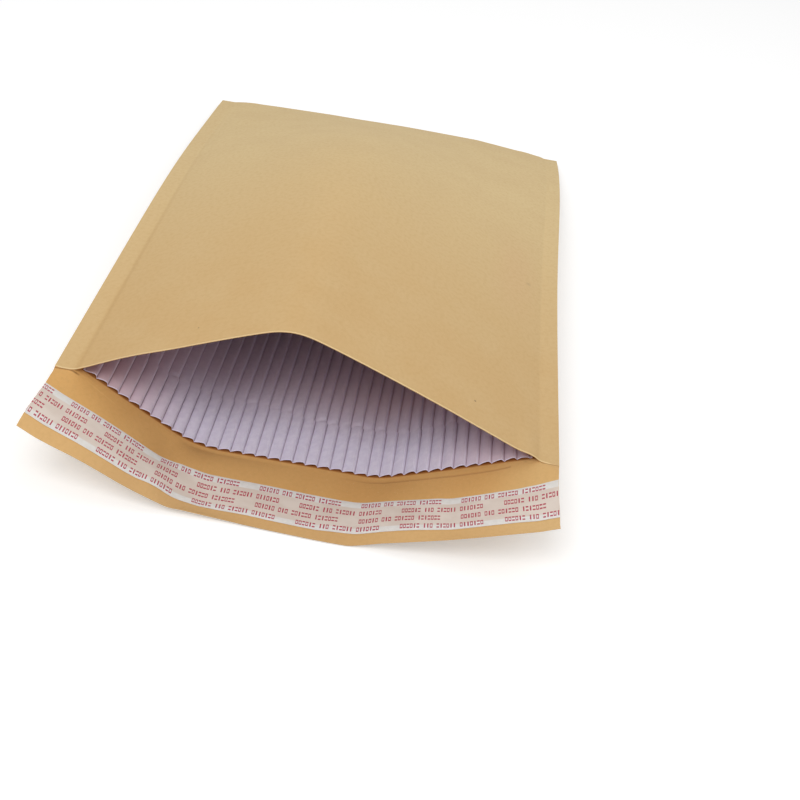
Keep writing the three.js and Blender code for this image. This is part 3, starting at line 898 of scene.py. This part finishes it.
def kraft_inside(s, across, down, cloud):
    """More orange, and darker with painted shade where the flap bends and inside the pouch under the
    lining.
    """
    color = s.blend(s.ramp(cloud, 0.35, 0.65), srgb(206, 154, 89), srgb(212, 162, 97))
    # Painted shade where the flap bends on its left
    painted_bend_shade = s.times(s.around(across, 0.085, 0.045), s.ramp(down, 0.01, -0.01))
    color = s.blend(s.times(painted_bend_shade, 0.12), color, srgb(178, 132, 84))
    at_left = s.ramp(across, 0.055, 0.02, 0, 0.5)
    color = s.blend(at_left, color, srgb(226, 174, 102))
    at_right = s.ramp(across, 0.225, 0.26, 0, 0.55)
    color = s.blend(at_right, color, srgb(220, 182, 122))
    beyond_liner = s.ramp(down, -0.038, -0.041, 0, 0.36)
    color = s.blend(beyond_liner, color, srgb(216, 184, 134))
    # Painted shade along the crease beside the mouth's line
    color = s.blend(s.times(s.score(across, down), 0.5), color, srgb(164, 112, 62))
    # Painted shade: the kraft under the lining is made dark orange
    painted_shade_under_lining = s.ramp(down, 0.0022, 0.0034)
    color = s.blend(painted_shade_under_lining, color, srgb(166, 100, 42))
    color = s.blend(s.times(shade_under_lip(s, across, down), 0.75), color, srgb(118, 72, 30))
    slant = s.plus(down, s.times(s.minus(across, 0.004), 0.13))
    pale_streak = s.times(s.around(slant, 0, 0.0006), s.around(across, 0.026, 0.014))
    return s.blend(s.times(pale_streak, 0.45), color, srgb(232, 186, 116))


def kraft_material():
    s = Shader("kraft paper")
    vector, across, down, side = s.place()
    flat = s.stretch(vector, (1, 1, 0))
    fine = s.noise(flat, 900, 2)
    mottle = s.noise(flat, 420, 4)
    fibre = s.noise(s.stretch(vector, (1.0, 0.28, 0)), 1500, 2)
    outside = kraft_outside(s, across, down, s.noise(flat, 32, 3))
    inside = kraft_inside(s, across, down, s.noise(flat, 14, 2))
    is_outside = s.ramp(side, INNER_FRONT + 0.2, OUTER_BACK - 0.2)
    is_front = s.ramp(side, OUTER_FRONT - 0.4, OUTER_FRONT - 0.1)
    color = s.blend(is_outside, inside, outside)

    color = s.blend(s.ramp(mottle, 0.4, 0.72, 0, 0.16), color, srgb(188, 148, 94))
    color = s.blend(s.ramp(fibre, 0.6, 0.8, 0, 0.16), color, srgb(166, 124, 76))
    color = s.blend(s.ramp(fine, 0.58, 0.85, 0, 0.3), color, srgb(226, 198, 152))
    # Painted highlight along the front panel's cut lip at the mouth
    lip = s.times(s.ramp(down, 0.0011, 0.0005), is_front)
    lip = s.times(lip, s.ramp(down, -0.0002, -0.0001))
    color = s.blend(s.times(lip, 0.75), color, srgb(236, 208, 156))
    for speck_across, speck_down, size, strength in SPECKS:
        speck = s.times(s.around(across, speck_across, size), s.around(down, speck_down, size))
        speck = s.times(speck, is_front)
        color = s.blend(s.times(speck, strength), color, srgb(96, 66, 38))
    height = s.plus(s.times(fine, 0.5), fibre)
    creased = s.bump(s.score(across, down), 0.0001, 0.6)
    roughness = s.ramp(mottle, 0.3, 0.7, 0.7, 0.82)
    return s.finish(color, roughness, s.bump(height, 0.00004, 1, creased))


def lining_material():
    s = Shader("white fluted paper")
    vector, across, down, _ = s.place()
    flat = s.stretch(vector, (1, 1, 0))
    mottle = s.noise(flat, 260, 4)
    streak = s.noise(s.stretch(vector, (1.0, 0.12, 0)), 700, 3)
    color = s.blend(s.ramp(mottle, 0.3, 0.7), srgb(214, 206, 224), srgb(224, 217, 232))
    color = s.blend(s.ramp(streak, 0.5, 0.75, 0, 0.2), color, srgb(198, 188, 208))

    # Warmer towards the sides and into the pouch: painted warm light from the kraft, with painted shade
    # deeper in
    painted_bounce_deep = s.times(s.ramp(down, 0.02, 0.07), s.ramp(across, 0.1, 0.2, 0.4, 0.8))
    color = s.blend(painted_bounce_deep, color, srgb(214, 182, 184))
    # Painted warm light from the kraft on the left side
    at_left = s.ramp(across, 0.08, 0.02, 0, 0.8)
    color = s.blend(at_left, color, srgb(210, 176, 180))
    painted_deep_shade = s.ramp(down, 0.05, 0.13, 0, 0.3)
    color = s.blend(painted_deep_shade, color, srgb(130, 104, 104))
    # Painted warm light from the kraft on the right side
    at_right = s.ramp(across, 0.19, 0.245, 0, 0.6)
    color = s.blend(at_right, color, srgb(212, 180, 186))

    # Painted shade as dark lines in the valleys, stronger on this side of the dents, and a painted
    # highlight on the pale steep sides
    place = s.over(s.minus(across, FIRST_FLUTE), FLUTE_PITCH)
    phase = s.math("FRACT", s.plus(place, 0.5))
    painted_valley_shade = s.around(phase, 0.5, 0.06)
    painted_valley_shade_strength = s.ramp(down, 0.034, 0.05, 0.42, 0.15)
    color = s.blend(s.times(painted_valley_shade, painted_valley_shade_strength), color, srgb(122, 90, 104))
    steep = s.times(s.ramp(phase, 0.28, 0.36), s.ramp(phase, 0.46, 0.42))
    color = s.blend(s.times(steep, 0.45), color, srgb(240, 234, 250))
    # Painted highlight along the lining's cut edge at the mouth
    painted_cut_edge_highlight = s.ramp(down, BACK_LINING_INSET + 0.0006, BACK_LINING_INSET + 0.0003)
    color = s.blend(s.times(painted_cut_edge_highlight, 0.8), color, srgb(238, 230, 252))
    return s.finish(color, 0.75, s.bump(s.noise(flat, 900, 3), 0.00004))


def adhesive_material():
    s = Shader("pressure-sensitive adhesive")
    blotch = s.noise(s.place()[0], 260, 3)
    color = s.blend(s.ramp(blotch, 0.3, 0.7), srgb(224, 210, 180), srgb(236, 224, 198))
    return s.finish(color, s.ramp(blotch, 0.3, 0.7, 0.25, 0.4), s.bump(blotch, 0.00005))


def print_marks(s, across, out):
    """1 on the printed marks: in each cell of a row, a bar, a box or two dashes."""
    row = s.math("FLOOR", s.over(out, MARK_ROW_PITCH))
    row_middle = s.times(s.plus(row, 0.5), MARK_ROW_PITCH)
    high = s.math("ABSOLUTE", s.minus(out, row_middle))
    odd = s.math("MODULO", row, 2)
    start = s.minus(MARK_START, s.times(odd, MARK_ROW_SHIFT))
    runs = s.plus(s.over(s.minus(across, start), MARK_RUN), MARK_RUNS_BEFORE)
    cell_place = s.times(s.math("FRACT", runs), MARK_RUN / MARK_CELL)
    cell = s.math("FLOOR", cell_place)
    wide = s.math("ABSOLUTE", s.minus(s.math("FRACT", cell_place), CELL_MIDDLE))
    group = s.math("FLOOR", s.over(cell, MARK_GROUP))
    seed = s.node("ShaderNodeCombineXYZ", {0: cell, 1: odd, 2: group}).outputs[0]
    scatter = s.node("ShaderNodeTexWhiteNoise", {"Vector": seed}, noise_dimensions="3D")
    kind = scatter.outputs["Value"]

    bar = s.math("LESS_THAN", wide, BAR_HALF_WIDTH)
    from_middle = s.over(wide, MARK_HALF_WIDTH), s.over(high, MARK_HALF_HEIGHT)
    box = s.math("GREATER_THAN", s.math("MAXIMUM", *from_middle), BOX_HOLLOW)
    dashes = s.math("GREATER_THAN", high, MARK_HALF_HEIGHT * DASH_HOLLOW)
    shape = s.pick(kind, BAR_CHANCE, bar, s.pick(kind, BAR_OR_BOX_CHANCE, box, dashes))
    in_width = s.math("LESS_THAN", wide, MARK_HALF_WIDTH)
    in_height = s.math("LESS_THAN", high, MARK_HALF_HEIGHT)
    kept = s.math("LESS_THAN", cell, MARK_CELLS)
    for gap in MARK_GAPS:
        from_gap = s.math("ABSOLUTE", s.minus(cell, gap))
        kept = s.times(kept, s.math("GREATER_THAN", from_gap, 0.5))
    return s.times(s.times(shape, s.times(in_width, in_height)), kept)


def liner_material():
    s = Shader("siliconised liner paper")
    vector, across, down, _ = s.place()
    out = s.minus(s.times(down, -1), LINER_FROM_MOUTH)
    mottle = s.noise(vector, 400, 3)
    blotch = s.noise(s.stretch(vector, (0.5, 1, 1)), 110, 3)
    margin = s.blend(s.ramp(mottle, 0.3, 0.7), srgb(218, 213, 207), srgb(225, 221, 216))
    middle = s.blend(s.ramp(blotch, 0.35, 0.65), srgb(212, 196, 183), srgb(220, 206, 194))
    stuck = s.times(s.ramp(out, 0.0040, 0.0046), s.ramp(out, 0.0186, 0.0180))
    color = s.blend(stuck, margin, middle)
    ink = s.times(print_marks(s, across, out), s.ramp(mottle, 0.2, 0.8, 0.85, 1))
    color = s.blend(ink, color, srgb(172, 26, 62))
    return s.finish(color, 0.5, s.bump(mottle, 0.00003))


FINISHES = [
    (kraft, "kraft_shell", "kraft", kraft_material()),
    (lining, "fluted_lining", "lining", lining_material()),
    (adhesive, "adhesive_band", "adhesive", adhesive_material()),
    (liner, "release_liner", "liner", liner_material()),
]
for piece, node, slot_name, material in FINISHES:
    piece.data.materials.append(material)
    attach(piece, "root")
    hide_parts(node)


# Camera, floor and light

CAMERA_PLACE = Vector((0.03898, -0.43174, 0.38957)) + Vector(TO_ROW)
CAMERA_ELEVATION = math.radians(37.765)
CAMERA_AZIMUTH = math.radians(-0.528)
CAMERA_ROLL = math.radians(10.576)
CAMERA_LENS = 51.38
FLOOR_SIZE = 6.0
FLOOR_DROP = 0.0004
FLOOR_COLOR = (0.86, 0.86, 0.86, 1)
FLOOR_GLOW = 0.3
WHITE = (1, 1, 1, 1)
WORLD_LEVEL = 0.55
LAMP_TARGET = Vector((0, -0.05, 0.03))

# Name, place, size, and how bright the lamp alone makes a white sheet at the envelope
LAMPS = (("key", (-0.25, -0.75, 1.15), 0.8, 0.4), ("fill", (0.5, 0.4, 1.1), 1.0, 0.15))


def make_camera():
    """The photograph's camera, placed and turned by the fit of the outlines."""
    level = math.cos(CAMERA_ELEVATION)
    back = Vector((
        math.sin(CAMERA_AZIMUTH) * level,
        -math.cos(CAMERA_AZIMUTH) * level,
        math.sin(CAMERA_ELEVATION),
    ))
    right = (-back).cross(Vector((0, 0, 1))).normalized()
    up = right.cross(-back)
    turned_right = right * math.cos(CAMERA_ROLL) + up * math.sin(CAMERA_ROLL)
    turned_up = up * math.cos(CAMERA_ROLL) - right * math.sin(CAMERA_ROLL)
    camera = bpy.data.objects.new("camera", bpy.data.cameras.new("camera"))
    camera.data.lens = CAMERA_LENS
    camera.data.sensor_width = 36
    camera.data.clip_start = 0.01
    camera.matrix_world = Matrix((
        (turned_right.x, turned_up.x, back.x, CAMERA_PLACE.x),
        (turned_right.y, turned_up.y, back.y, CAMERA_PLACE.y),
        (turned_right.z, turned_up.z, back.z, CAMERA_PLACE.z),
        (0, 0, 0, 1),
    ))
    bpy.context.scene.collection.objects.link(camera)
    bpy.context.scene.camera = camera


def seen_directly(s):
    """1 for what the camera sees straight, mirrored or through glass, and 0 for light on the object."""
    path = s.node("ShaderNodeLightPath")
    rays = [path.outputs[f"Is {kind} Ray"] for kind in ("Camera", "Glossy", "Transmission")]
    return s.math("MAXIMUM", s.math("MAXIMUM", rays[0], rays[1]), rays[2])


def make_floor():
    """A pale floor that looks white to the camera and keeps the envelope's shadow."""
    half = FLOOR_SIZE / 2
    z = cad_box[0].z - FLOOR_DROP
    corners = [(-half, -half, z), (half, -half, z), (half, half, z), (-half, half, z)]
    mesh = bpy.data.meshes.new("floor")
    mesh.from_pydata(corners, [], [(0, 1, 2, 3)])
    floor = bpy.data.objects.new("floor", mesh)
    bpy.context.scene.collection.objects.link(floor)
    s = Shader("pale floor")
    s.give(s.surface.inputs["Base Color"], FLOOR_COLOR)
    s.give(s.surface.inputs["Roughness"], 0.9)
    s.give(s.surface.inputs["Specular IOR Level"], 0.0)
    s.give(s.surface.inputs["Emission Color"], WHITE)
    s.give(s.surface.inputs["Emission Strength"], s.times(seen_directly(s), FLOOR_GLOW))
    mesh.materials.append(s.material)


def make_lamp(name, place, size, level):
    """A soft square lamp aimed at the envelope."""
    lamp = bpy.data.objects.new(name, bpy.data.lights.new(name, "AREA"))
    aim = LAMP_TARGET - Vector(place)
    lamp.data.size = size
    lamp.data.energy = level * math.pi**2 * aim.length_squared
    lamp.location = place
    lamp.rotation_mode = "QUATERNION"
    lamp.rotation_quaternion = aim.to_track_quat("-Z", "Y")
    bpy.context.scene.collection.objects.link(lamp)


def make_world():
    """Even light all round, and a white background for the camera."""
    world = bpy.data.worlds.new("studio")
    world.use_nodes = True
    tree = world.node_tree
    background = tree.nodes["Background"]
    path = tree.nodes.new("ShaderNodeLightPath")
    strength = tree.nodes.new("ShaderNodeMapRange")
    strength.inputs["To Min"].default_value = WORLD_LEVEL
    strength.inputs["To Max"].default_value = 1.0
    tree.links.new(path.outputs["Is Camera Ray"], strength.inputs["Value"])
    tree.links.new(strength.outputs[0], background.inputs["Strength"])
    background.inputs["Color"].default_value = WHITE
    bpy.context.scene.world = world


make_camera()
make_floor()
make_world()
for lamp in LAMPS:
    make_lamp(*lamp)
bpy.context.scene.view_settings.view_transform = "Standard"
